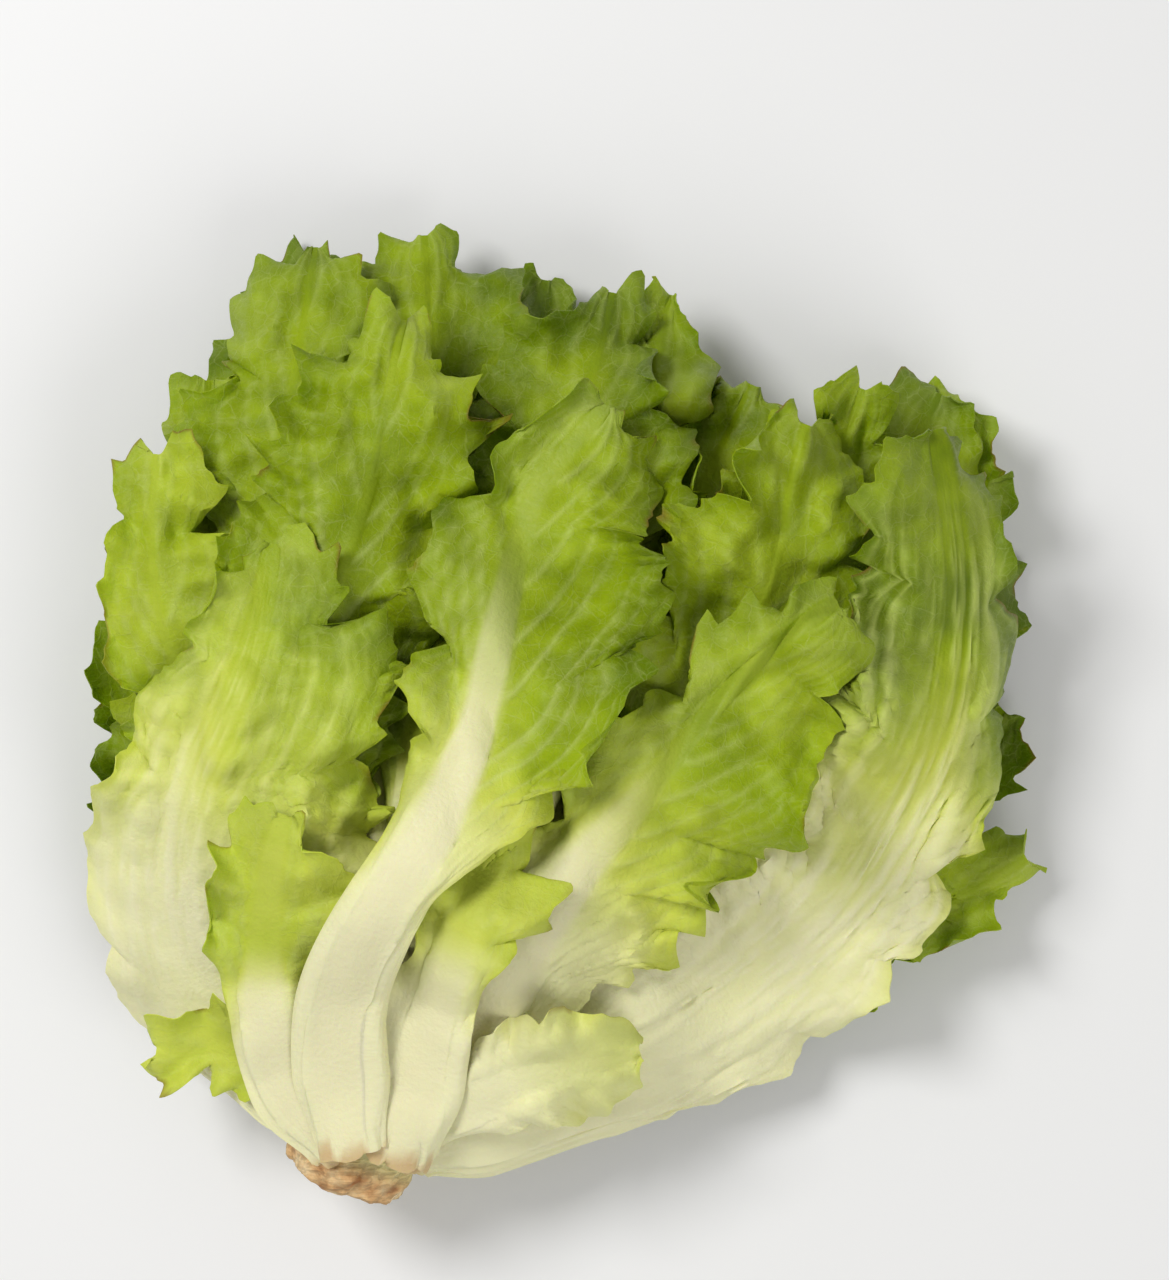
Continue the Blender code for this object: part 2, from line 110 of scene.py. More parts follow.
# The head's own weight, and the leaves' bases at the crown
PRESSED_FROM = 62.0
PRESSED_REACH = 19.0
CROWN_LEVEL = 30.0
DRAWN_IN = 0.45
DRAWN_FROM = 8.0
DRAWN_REACH = 45.0

# The map that the fine leaves are laid on
CELL = 0.5
MAP_HALF = 125.0
GAP = 0.12
LAY_TURNS = 3
BLUR_TURNS = 5
SOFTEN_TURNS = 4

# The camera looks straight down. CAMERA_OVER: the plan point in the middle of its view.
# VIEW_HEIGHT: how much it sees at VIEWED_LEVEL.
CAMERA_OVER = (7.4, 16.4)
CAMERA_LENS = 120.0
SENSOR_HEIGHT = 36.0
VIEW_HEIGHT = 268.8
VIEWED_LEVEL = 40.0

# The lights, in metres and watts: name, place, size, power
LIGHTS = (("key", (-0.52, 0.38, 0.9), 0.42, 7.0), ("fill", (0.5, -0.65, 0.9), 0.8, 4.0))
LIT_POINT = (0, 0, 0.03)

Leaf = namedtuple(
    "Leaf",
    "name line left right stalk thick rows widest start tooth lobe waves wave_height rest",
    defaults=(1.5, 12, 0.66, 0.08, 3.2, 2.5, 4.5, 5.0, 3.2),
)

# From the lowest leaf to the topmost. line: plan points of the midrib, from base to tip.
# thick, waves, wave_height and rest shape the solids only.
BELOW_CROWN = (
    Leaf("leaf_under_left", [(-42, -90), (-63, -62), (-78, -28), (-82, 3), (-84, 33)], 15, 21, 7, 2.4),
    Leaf("leaf_under_right", [(-38, -91), (-2, -68), (36, -42), (65, -17), (90, 6)], 22, 19, 7, 2.4),
    Leaf("leaf_under_middle", [(-40, -90), (-31, -43), (-21, 12), (-14, 80)], 27, 27, 7, 2.4),
    Leaf("leaf_under_top_left", [(-42, -85), (-53, -43), (-63, 12), (-66, 66)], 22, 25, 6.5),
    Leaf("leaf_under_top_right", [(-38, -85), (-8, -43), (19, 5), (46, 58)], 26, 25, 6.5),
    Leaf("leaf_under_side", [(-35, -87), (6, -74), (46, -54), (72, -36), (90, -16)], 16, 14, 6),
    Leaf("leaf_under_low_left", [(-44, -84), (-64, -64), (-78, -39), (-84, -5), (-87, 20)], 14, 19, 6),
    Leaf("leaf_under_far_right", [(-30, -70), (4, -40), (44, 4), (69, 41), (84, 68)], 22, 19, 5.5),
    Leaf("leaf_low_top_middle", [(-33, -66), (-23, -28), (-2, 24), (18, 82)], 23, 23, 5.5),
    Leaf("leaf_low_left", [(-39, -68), (-61, -35), (-76, 7), (-82, 49)], 17, 22, 5.5),
    Leaf("leaf_low_right", [(-27, -72), (15, -45), (55, -14), (80, 22), (88, 51)], 22, 13, 5.5),
)

ABOVE_CROWN = (
    Leaf("leaf_mid_top_middle", [(-27, -54), (-27, -20), (-21, 24), (-10, 95)], 22, 21, 4.5),
    Leaf("leaf_mid_top_left", [(-33, -56), (-48, -20), (-61, 24), (-62, 100)], 20, 22, 4.5),
    Leaf("leaf_mid_far_right", [(-19, -55), (6, -30), (42, 7), (65, 41), (80, 69)], 20, 19, 4.5),
    Leaf("leaf_mid_side", [(-29, -78), (15, -68), (53, -50), (78, -36), (95, -25)], 14, 11, 5),
    Leaf("leaf_mid_left", [(-38, -62), (-60, -39), (-76, -3), (-83, 24), (-86, 43)], 13, 18, 4.5),
    Leaf("leaf_mid_top_right", [(-21, -50), (-8, -24), (15, 20), (40, 70)], 20, 21, 4.5),
    Leaf("leaf_mid_curl_left", [(-34, -50), (-54, -24), (-66, 20), (-69, 72)], 15, 20, 4.5),
    Leaf("leaf_heart_a", [(-27, -50), (-28, -40), (-27, -28), (-25, -4)], 11, 11, 4, 1.2, 8),
    Leaf("leaf_heart_b", [(-34, -54), (-40, -44), (-48, -30), (-54, -8)], 12, 11, 4, 1.2, 8),
    Leaf("leaf_heart_c", [(-20, -54), (-13, -46), (-6, -32), (6, -12)], 11, 11, 4, 1.2, 8),
    Leaf("leaf_heart_d", [(-30, -46), (-34, -38), (-36, -22), (-33, 4)], 12, 12, 4, 1.2, 8),
    Leaf("leaf_heart_e", [(-23, -46), (-20, -38), (-15, -22), (-4, 4)], 11, 12, 4, 1.2, 8),
    Leaf("leaf_top_centre_back", [(-31, -46), (-33, -24), (-30, 24), (-34, 103)], 21, 21, 4.5),
    Leaf("leaf_top_narrow", [(-19, -44), (-10, -24), (11, 28), (27, 89)], 13, 11, 4),
    Leaf("leaf_top_left_back", [(-44, -44), (-54, -22), (-62, 20), (-56, 100)], 19, 21, 4.5),
    Leaf("leaf_top_right_back", [(-14, -49), (4, -33), (40, 7), (65, 68)], 21, 21, 4.5),
    Leaf("leaf_top_middle", [(-26, -40), (-23, -24), (-8, 24), (4, 91)], 20, 22, 4.5),
    Leaf("leaf_top_left", [(-47, -65), (-64, -42), (-78, -1), (-84, 24), (-82, 55)], 13, 21, 4.5),
    Leaf("leaf_top_right_front", [(-14, -47), (0, -33), (25, 3), (42, 26), (52, 60)], 20, 22, 4.5),
    Leaf("leaf_flat_left", [(-40, -66), (-50, -40), (-55, -9), (-50, 20), (-41, 49), (-35, 83)],
         23, 22, 5, 1.9, 14),
    Leaf("leaf_wide_right",
         [(-34, -89), (-7, -82), (24, -70), (49, -51), (66, -28), (77, -3), (81, 24), (77, 60)],
         30, 14, 14, 3.0, 16, 0.5, tooth=1.8),
    Leaf("leaf_lean_right", [(-28, -80), (-16, -58), (-2, -37), (15, -17), (36, 1), (60, 16)],
         12, 30, 10, 2.8, 14, 0.6, 0.12),
    Leaf("leaf_round_fold", [(-30, -86), (-15, -78), (-1, -72), (14, -67)],
         11, 11, 8, 2.4, 8, 0.6, tooth=1.2, lobe=1.0),
    Leaf("leaf_fan_left", [(-47, -86), (-64, -74), (-77, -60), (-82, -41), (-79, -18), (-72, 5), (-67, 37)],
         17, 38, 12, 3.0, 14, 0.44, 0.12, tooth=1.2, lobe=1.6),
    Leaf("leaf_curl_low", [(-49, -85), (-61, -76), (-74, -69), (-87, -66)], 8, 8, 4, 1.4, 8),
    Leaf("leaf_stalk_left", [(-48, -89), (-58, -77), (-63, -61), (-62, -43), (-56, -20)],
         13, 12, 12, 3.0, widest=0.75, start=0.4),
    Leaf("leaf_stalk_centre", [(-36, -91), (-32, -77), (-27, -60), (-21, -44), (-13, -22)],
         12, 12, 12, 3.0, widest=0.8, start=0.5),
    Leaf("leaf_rib_centre",
         [(-46, -90), (-48, -70), (-46, -55), (-37, -37), (-26, -20), (-18, 1), (-14, 24), (-8, 47), (6, 66)],
         13, 32, 11, 3.4, 16, 0.68, 0.34),
)

# How a leaf is coloured. pale_to: share of the length up to which the blade is cream.
# green_from: share from which it has its full green. tone: that green, from 0, yellow, to 1, dark.
# sweep: how far the veins run ahead from the rib to the margin, as a share of the length.
# rib_pale: how pale the midrib is. vein_gap, vein_mix: distance between side veins, and how clearly
# they show. rib_rise: how far the midrib stands up. toothed_from: share of the length from which the
# margin is deeply toothed also where the solid's is nearly smooth, or 0. streaks: how clearly pale
# lines run lengthwise, and how much painted shade darkens the green between them, in the valleys
# between the ribs. rib_to: share of the length up to which the midrib is fully pale.
Look = namedtuple(
    "Look",
    "pale_to green_from tone sweep rib_pale vein_gap vein_mix rib_rise toothed_from streaks rib_to",
    defaults=(0.10, 0.42, 0.88, 0.3, 0.0, 13.0, 0.3, 0.14, 0.0, 0.0, 0.42),
)

LOOKS = {
    "leaf_heart_a": Look(0.2, 0.9, 0.35),
    "leaf_heart_b": Look(0.2, 0.9, 0.40),
    "leaf_heart_c": Look(0.2, 0.9, 0.35),
    "leaf_heart_d": Look(0.2, 0.9, 0.38),
    "leaf_heart_e": Look(0.2, 0.9, 0.42),
    "leaf_fan_left": Look(0.46, 1.0, 0.76, 0.85, 0.1, 5.5, 0.25, 0.05, 0.5, 0.5),
    "leaf_stalk_left": Look(0.34, 0.7, 0.52, 0.6, 0.8, 9.0, 0.3, 0.3),
    "leaf_stalk_centre": Look(0.4, 0.8, 0.46, 0.6, 0.8, 9.0, 0.3, 0.3),
    "leaf_rib_centre": Look(0.28, 0.78, 0.86, 0.3, 0.9, 11.0, 0.45, 0.35, 0.0, 0.0, 0.56),
    "leaf_lean_right": Look(0.16, 0.85, 0.78, 0.4, 0.9, 8.0, 0.3, 0.3),
    "leaf_wide_right": Look(0.48, 0.92, 0.79, 0.9, 0.0, 6.0, 0.1, 0.04, 0.55, 0.85),
    "leaf_round_fold": Look(0.2, 1.3, 0.36, 0.7, 0.2, 4.0, 0.6, 0.1),
    "leaf_curl_low": Look(0.0, 0.6, 0.50),
    "leaf_flat_left": Look(0.10, 0.45, 0.80, 0.3, 0.3, 13.0, 0.35),
    "leaf_top_left": Look(0.10, 0.42, 0.7, 0.3, 0.3, 13.0, 0.35),
    "leaf_top_right_front": Look(0.15, 0.55, 0.78, 0.35, 0.2, 13.0, 0.3),
}

# Margins that spread out further near the base: side, shares of the length from and to, distance
SPREAD = {
    "leaf_wide_right": (-1, 0.06, 0.42, 9.0),
    "leaf_stalk_centre": (-1, 0.1, 0.6, 4.5),
    "leaf_lean_right": (1, 0.05, 0.45, 5.0),
}

# Leaves that others cover nearly everywhere are made of larger faces
HIDDEN = (
    *("leaf_under_top_left", "leaf_under_top_right", "leaf_under_middle", "leaf_low_top_middle"),
    *("leaf_low_left", "leaf_heart_a", "leaf_heart_d", "leaf_heart_e"),
)


def srgb(red, green, blue):
    """Linear colour of an 8-bit display colour."""
    value = np.array([red, green, blue]) / 255
    return np.where(value <= 0.04045, value / 12.92, ((value + 0.055) / 1.055) ** 2.4)


CROWN_CENTRE = (-41.0, -90.0)
CREAM = srgb(232, 227, 184)
RAMP_PLACES = (0.0, 0.2, 0.42, 0.6, 0.8, 1.0)
RAMP_COLOURS = (
    srgb(234, 231, 186),
    srgb(226, 227, 156),
    srgb(202, 210, 84),
    srgb(176, 192, 50),
    srgb(144, 165, 12),
    srgb(100, 122, 1),
)
VEIN_COLOUR = srgb(198, 208, 130)
BURNT = srgb(120, 84, 34)
STUB_BROWN = srgb(190, 142, 84)

# Materials. NETS: scale of each net of fine veins, and the width and clearness of its lines
NETS = ((0.24, 0.035, 0.13), (0.75, 0.06, 0.08))
NET_WANDER = (3.0, 3.0, 0.0)
MOTTLE = (-0.12, 0.1)
LEAF_ROUGHNESS = (0.4, 0.55)
SUBSURFACE_SCALE = 0.002
CROWN_HEADING = math.radians(68)
CROWN_VOXEL = 0.6
CROWN_COLOURS = (
    (0.3, srgb(164, 106, 50)),
    (0.72, srgb(240, 218, 172)),
    (0.5, srgb(218, 178, 124)),
)
CROWN_ROUGHNESS = (0.6, 0.85)
BROWNED = (5.0, 13.0)
FIBRE_TURN = 1.19
FIBRE_SCALE = (60, 900, 900)


def smooth_step(value):
    """0 up to 0, 1 from 1, and a smooth rise between."""
    value = np.clip(value, 0.0, 1.0)
    return value * value * (3 - 2 * value)


class Spine:
    """A smooth line through a leaf's plan points, read by the distance along it."""

    def __init__(self, points):
        self.points = self._curve(np.array(points, float))
        steps = np.linalg.norm(np.diff(self.points, axis=0), axis=1)
        self.along = np.concatenate([[0.0], np.cumsum(steps)])
        self.length = self.along[-1]
        heading = np.gradient(self.points, self.along, axis=0)
        self.heading = heading / np.linalg.norm(heading, axis=1)[:, None]

    @staticmethod
    def _curve(points):
        """Catmull-Rom through the points, with the end spans carried straight on."""
        padded = np.vstack([2 * points[0] - points[1], points, 2 * points[-1] - points[-2]])
        spans = len(points) - 1
        made = []
        for t in np.linspace(0, spans, SPINE_SAMPLES):
            i = min(int(t), spans - 1)
            u = t - i
            a, b, c, d = padded[i : i + 4]
            bend = (2 * a - 5 * b + 4 * c - d) * u**2 + (3 * b - a - 3 * c + d) * u**3
            made.append(0.5 * (2 * b + (c - a) * u + bend))
        return np.array(made)

    def place(self, across, along):
        """Plan points at these distances along the line and across it, to its right."""
        inside = np.clip(along, 0, self.length)
        over = (along - inside)[..., None]
        on_line = np.stack([np.interp(inside, self.along, self.points[:, k]) for k in (0, 1)], -1)
        ahead = np.stack([np.interp(inside, self.along, self.heading[:, k]) for k in (0, 1)], -1)
        to_right = np.stack([ahead[..., 1], -ahead[..., 0]], -1)
        return on_line + over * ahead + across[..., None] * to_right


def half_width(leaf, share, blade):
    """Half width of a leaf's outline at this share of its length."""
    stalk = leaf.stalk * (1 - RIB_TAPER * share)
    rise = smooth_step((share - leaf.start) / (leaf.widest - leaf.start))
    beyond = np.clip((share - leaf.widest) / (1 - leaf.widest), 0, 1)
    fall = np.sqrt(np.clip(1 - beyond**2.2, 0, 1))
    return np.maximum(stalk * fall + (blade - stalk * 0.5) * rise * fall, TIP_WIDTH)


def row_shares(leaf, length):
    """Shares of the length at which the rows meet the margin, evenly spaced along the margin."""
    share = np.linspace(0, 1, 400)
    width = half_width(leaf, share, (leaf.left + leaf.right) / 2)
    steps = np.hypot(np.diff(share) * length, np.diff(width))
    along = np.concatenate([[0], np.cumsum(steps)])
    return np.interp(np.linspace(0, along[-1], 2 * leaf.rows + 1), along, share)


def rib_half_width(leaf, shares, width):
    """Half width of the midrib where the outline has this half width."""
    return np.minimum(RIB_SHARE * leaf.stalk * (1 - RIB_TAPER * shares), 0.6 * width)


def vein_lead(shares):
    """How far a row's end lies ahead of its start at the rib, as a share of the half width."""
    return VEIN_LEAD * smooth_step(shares / 0.35)


def outset_of(leaf, shares, blade, rng):
    """How far each point of a margin stands out of the outline, in teeth, notches and lobes."""
    width = half_width(leaf, shares, blade)
    number = np.arange(len(shares))
    turn = np.where(number % 2 == 0, -1.0, 1.0)
    teeth = turn * leaf.tooth * rng.uniform(0.4, 1.3, len(shares))
    lobes = leaf.lobe * np.sin(2 * math.pi * (number / LOBE_POINTS + rng.uniform()))
    blade_room = width - rib_half_width(leaf, shares, width)
    room = np.clip(blade_room / FULL_TEETH_BLADE, 0.15, 1)
    out = (teeth + lobes) * room * smooth_step((shares - leaf.start - 0.07) / 0.2)
    out = out * (1 - TIP_CALM * smooth_step((shares - 0.82) / 0.18))
    return np.maximum(out, -MOST_NOTCH * blade_room)


def along_blade(leaf, shares, length, width, column):
    """Distances along and across the leaf of a column, before the margin's teeth."""
    size = np.abs(column)
    rib = rib_half_width(leaf, shares, width)
    across = np.where(size < 0.2, rib * size / 0.2, rib + (size - 0.2) / 0.8 * (width - rib))
    along = shares * length - vein_lead(shares) * width * (1 - (across / width) ** 1.2)
    along = along - BASE_ROUNDING * (1 - column**2) * (1 - smooth_step(shares / 0.12))
    return along, across


def coarse_plan(leaf, spine, shares, outsets):
    """The solid leaf's plan points: one row of columns for each pair of margin points."""
    even = shares[::2]
    inner = []
    for column in INNER_COLUMNS:
        width = half_width(leaf, even, leaf.right if column > 0 else leaf.left)
        along, across = along_blade(leaf, even, spine.length, width, column)
        inner.append(spine.place(math.copysign(1, column) * across, along))
    plan = [np.stack(inner, axis=1).reshape(-1, 2)]
    for side, blade in ((-1, leaf.left), (1, leaf.right)):
        width = half_width(leaf, shares, blade)
        along = shares * spine.length
        forward, outward = -np.gradient(width), np.gradient(along)
        size = np.hypot(forward, outward)
        out = outsets[side]
        across = np.maximum(width + out * outward / size, TIP_WIDTH / 2)
        plan.append(spine.place(side * across, along + out * forward / size))
    return np.vstack(plan)


def hermite(knots, values, where):
    """A smooth curve through the values at the knots, read along the first axis."""
    slope = np.gradient(values, knots, axis=0)
    at = np.clip(np.searchsorted(knots, where) - 1, 0, len(knots) - 2)
    span = (knots[at + 1] - knots[at])[:, None]
    u = ((where - knots[at])[:, None]) / span
    low, high = values[at], values[at + 1]
    rise, fall = slope[at] * span, slope[at + 1] * span
    return (
        (2 * u**3 - 3 * u**2 + 1) * low
        + (u**3 - 2 * u**2 + u) * rise
        + (3 * u**2 - 2 * u**3) * high
        + (u**3 - u**2) * fall
    )


def noise(u, v, size, rng):
    """Smooth noise between -1 and 1 over a plane, with bumps of this size."""
    table = rng.uniform(-1, 1, (64, 64))
    u, v = u / size, v / size
    i, j = np.floor(u).astype(int), np.floor(v).astype(int)
    s, t = smooth_step(u - i), smooth_step(v - j)
    i, j = i % 64, j % 64
    k, m = (i + 1) % 64, (j + 1) % 64
    near = table[i, j] * (1 - s) + table[k, j] * s
    far = table[i, m] * (1 - s) + table[k, m] * s
    return near * (1 - t) + far * t


def sharpened(knots, values, where):
    """Teeth between alternating notches and tips: rounded notches and pointed tips."""
    at = np.clip(np.searchsorted(knots, where) - 1, 0, len(knots) - 2)
    u = np.clip((where - knots[at]) / (knots[at + 1] - knots[at]), 0, 1)
    low, high = values[at], values[at + 1]
    rising = high > low
    up = low + (high - low) * u**TOOTH_SHARPNESS
    down = high + (low - high) * (1 - u) ** TOOTH_SHARPNESS
    return np.where(rising, up, down)


def jagged(along, spacing, rng):
    """Uneven teeth between -1 and 1 along a margin."""
    count = int(2.6 * along[-1] / spacing) + 4
    knots = np.cumsum(spacing / 2 * rng.uniform(0.5, 1.5, count)) - spacing
    turn = np.where(np.arange(count) % 2 == 0, -1.0, 1.0)
    return sharpened(knots, turn * rng.uniform(0.3, 1.0, count), along)


def pressed(height):
    """The height after what stands above the head has settled under its own weight."""
    over = np.maximum(height - PRESSED_FROM, 0)
    return height - over + PRESSED_REACH * (1 - np.exp(-over / PRESSED_REACH))


def from_crown(x, y):
    return np.hypot(x - CROWN_CENTRE[0], y - CROWN_CENTRE[1])


def settled(points):
    """The points after the head has settled and the leaves' bases are drawn in to the crown's height."""
    away = from_crown(points[..., 0], points[..., 1])
    kept = DRAWN_IN + (1 - DRAWN_IN) * smooth_step((away - DRAWN_FROM) / DRAWN_REACH)
    height = CROWN_LEVEL + (pressed(points[..., 2]) - CROWN_LEVEL) * kept
    return np.concatenate([points[..., :2], height[..., None]], -1)


def heights_of(node, plan, shift):
    """Top and bottom of the solid leaf at each of its plan points."""
    points = np.array([vertex.co for vertex in node.data.vertices]) / MM
    top = np.empty(len(plan))
    bottom = np.empty(len(plan))
    for number, place in enumerate(plan + shift):
        off = np.abs(points[:, :2] - place).max(axis=1)
        heights = points[off < off.min() + 0.03, 2]
        top[number] = heights.max()
        bottom[number] = heights.min()
    return top, bottom


def lattice_of(leaf, values):
    """A value at every margin station and at all six columns, from the solid leaf's points."""
    stations = 2 * leaf.rows + 1
    count = (leaf.rows + 1) * len(INNER_COLUMNS)
    inner = values[:count].reshape(leaf.rows + 1, len(INNER_COLUMNS))
    between = np.arange(stations) / 2
    inner = hermite(np.arange(leaf.rows + 1.0), inner, between)
    left = values[count : count + stations]
    right = values[count + stations :]
    return np.column_stack([left, inner, right])


def rows_for(leaf, stations, length, step):
    """Where the fine leaf's rows lie, in margin stations: further apart in the stem."""
    number = np.arange(len(stations), dtype=float)
    reach = (length + 30) / (len(stations) - 1) / (STEP_ALONG * step)
    density = reach / np.where(stations < STEM_SHARE, STEM_STEP_FACTOR, 1.0)
    count = np.concatenate([[0], np.cumsum((density[1:] + density[:-1]) / 2)])
    return np.interp(np.linspace(0, count[-1], int(count[-1]) + 1), count, number)


def columns_for(leaf, step):
    """Columns of the fine leaf, from the left margin to the right one."""
    right = max(6, int(leaf.right / step))
    left = max(6, int(leaf.left / step))
    rib = max(2, int(RIB_SHARE * leaf.stalk / step))
    blade_left = -np.linspace(1, 0.2, left, endpoint=False)
    blade_right = np.linspace(1, 0.2, right, endpoint=False)[::-1]
    return np.concatenate([blade_left, np.linspace(-0.2, 0.2, 2 * rib + 1), blade_right])


class Veins:
    """The side veins of one half of a leaf. Each runs from the rib, or the base, to the margin."""

    def __init__(self, sweep, gap, length, rng):
        spacing = gap / length
        starts = np.arange(-sweep - spacing, 1 + 2 * spacing, spacing)
        self.starts = starts + rng.uniform(-0.25, 0.25, len(starts)) * spacing
        self.sweep = sweep
        self.length = length

    def read(self, share, size, span):
        """Distance to the nearest vein, and how far along the way between two veins a point is."""
        beyond = np.clip((size - 0.2) / 0.8, 0, 1)
        label = share - self.sweep * beyond**1.3
        at = np.clip(np.searchsorted(self.starts, label) - 1, 0, len(self.starts) - 2)
        low, high = self.starts[at], self.starts[at + 1]
        near = np.minimum(np.abs(label - low), np.abs(high - label))
        slope = self.sweep * 1.3 * beyond**0.3 / np.maximum(span, 1)
        steep = np.hypot(1 / self.length, slope)
        return near / steep, (label - low) / (high - low)


def ramp(value):
    return np.stack(
        [np.interp(value, RAMP_PLACES, [colour[k] for colour in RAMP_COLOURS]) for k in range(3)], -1
    )


class Ground:
    """The height of what is already laid, over a map of square cells."""

    def __init__(self):
        size = int(2 * MAP_HALF / CELL)
        self.height = np.full((size, size), -GAP)

    def cell_of(self, x, y):
        size = self.height.shape[0] - 1
        i = np.clip(((x + MAP_HALF) / CELL).astype(int), 0, size)
        j = np.clip(((y + MAP_HALF) / CELL).astype(int), 0, size)
        return i, j

    def near(self, x, y):
        """The highest of the nine cells round each point."""
        wide = np.pad(self.height, 1, mode="edge")
        size = self.height.shape[0]
        best = self.height
        for i in range(3):
            for j in range(3):
                best = np.maximum(best, wide[i : i + size, j : j + size])
        return best[self.cell_of(x, y)]

    def add(self, x, y, z):
        """Adds a surface given by a lattice of points."""
        steps = 3
        for i in range(steps):
            for j in range(steps):
                s, t = i / steps, j / steps
                fields = []
                for field in (x, y, z):
                    low = field[:-1, :-1] * (1 - t) + field[:-1, 1:] * t
                    high = field[1:, :-1] * (1 - t) + field[1:, 1:] * t
                    fields.append(low * (1 - s) + high * s)
                np.maximum.at(self.height, self.cell_of(fields[0], fields[1]), fields[2])


def blurred(field, turns):
    for _ in range(turns):
        wide = np.pad(field, 1, mode="edge")
        field = (
            2 * field + wide[:-2, 1:-1] + wide[2:, 1:-1] + wide[1:-1, :-2] + wide[1:-1, 2:]
        ) / 6
    return field


def widened(field, turns):
    """The highest value within this many steps of each point."""
    for _ in range(turns):
        wide = np.pad(field, 1, mode="edge")
        beside = np.maximum(wide[1:-1, :-2], wide[1:-1, 2:])
        field = np.maximum(np.maximum(field, beside), np.maximum(wide[:-2, 1:-1], wide[2:, 1:-1]))
    return field


def lift_over(ground, x, y, bottom):
    """How far a sheet has to rise to lie clear of the ground, smooth along the sheet."""
    need = np.maximum(ground.near(x, y) + GAP - bottom, 0)
    lift = need
    for _ in range(LAY_TURNS):
        lift = np.maximum(blurred(lift, BLUR_TURNS), need)
    return blurred(widened(lift, SOFTEN_TURNS), SOFTEN_TURNS)


